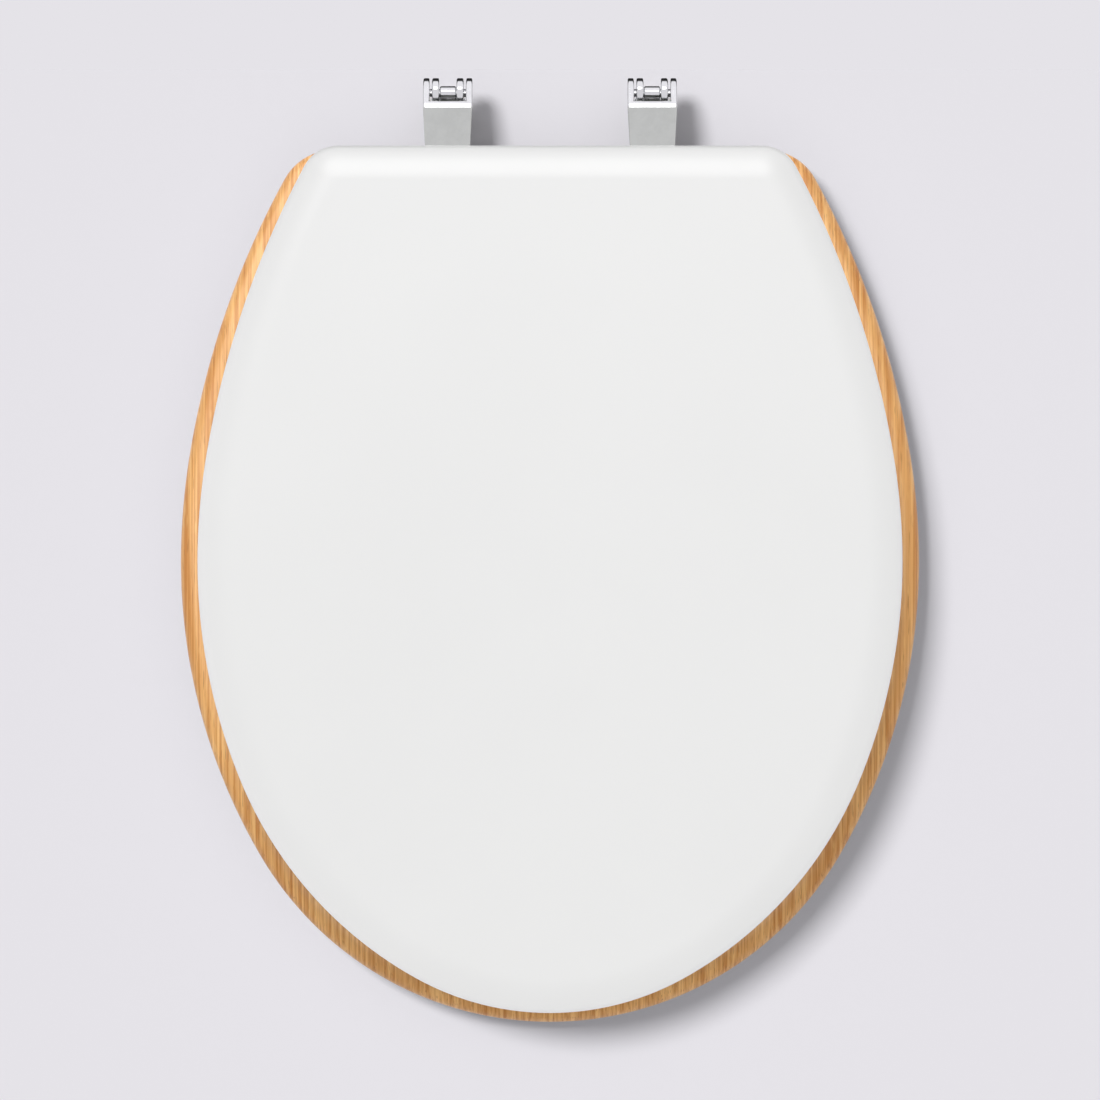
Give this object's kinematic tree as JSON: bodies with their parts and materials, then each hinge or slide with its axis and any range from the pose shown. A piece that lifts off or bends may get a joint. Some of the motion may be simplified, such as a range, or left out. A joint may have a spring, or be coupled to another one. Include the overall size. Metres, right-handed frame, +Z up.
{
  "type": "toilet seat",
  "caption": "Toilet seat with a closing white lid over an oak ring, both hinged on a chromed pin hinge that bolts through the bowl's deck.",
  "frame": {"origin": "on the bowl's deck, midway between the two fixing studs", "axes": "+Z up, +Y to the rear, from the seat's front tip to its hinges, +X to the right seen from the front"},
  "size_m": [0.37, 0.4725, 0.11],
  "materials": {
    "white_lacquer": "smooth satin-gloss white lacquer over board",
    "oak": "oak with a clear satin varnish, grain front to rear",
    "chrome": "chrome-plated zinc casting",
    "pin_steel": "bright drawn steel",
    "zinc_steel": "zinc-plated steel",
    "screw_steel": "bright zinc-plated steel",
    "clear_buffer": "translucent soft vinyl",
    "rubber": "black rubber"
  },
  "bodies": {
    "fixings": {"hinge_post_left": "chrome", "hinge_post_right": "chrome", "hinge_pins": "pin_steel", "fixing_studs": "zinc_steel", "deck_pads": "clear_buffer", "cone_washers": "rubber", "flat_washers": "zinc_steel", "wing_nuts": "zinc_steel"},
    "seat": {"seat_ring": "oak", "seat_leaf_left": "chrome", "seat_leaf_right": "chrome", "seat_leaf_screws": "screw_steel", "seat_buffers": "clear_buffer", "seat_buffer_screws": "screw_steel"},
    "lid": {"lid_panel": "white_lacquer", "lid_leaf_left": "chrome", "lid_leaf_right": "chrome", "lid_leaf_screws": "screw_steel", "lid_buffers": "clear_buffer", "lid_buffer_screws": "screw_steel"}
  },
  "joints": [
    {"name": "seat_hinge", "type": "hinge", "parent": "fixings", "child": "seat", "pos_m": [0, 0.006, 0.022], "axis": [-1, 0, 0], "range_deg": [0, 95]},
    {"name": "lid_hinge", "type": "hinge", "parent": "seat", "child": "lid", "pos_m": [0, 0.006, 0.022], "axis": [-1, 0, 0], "range_deg": [0, 105]}
  ]
}
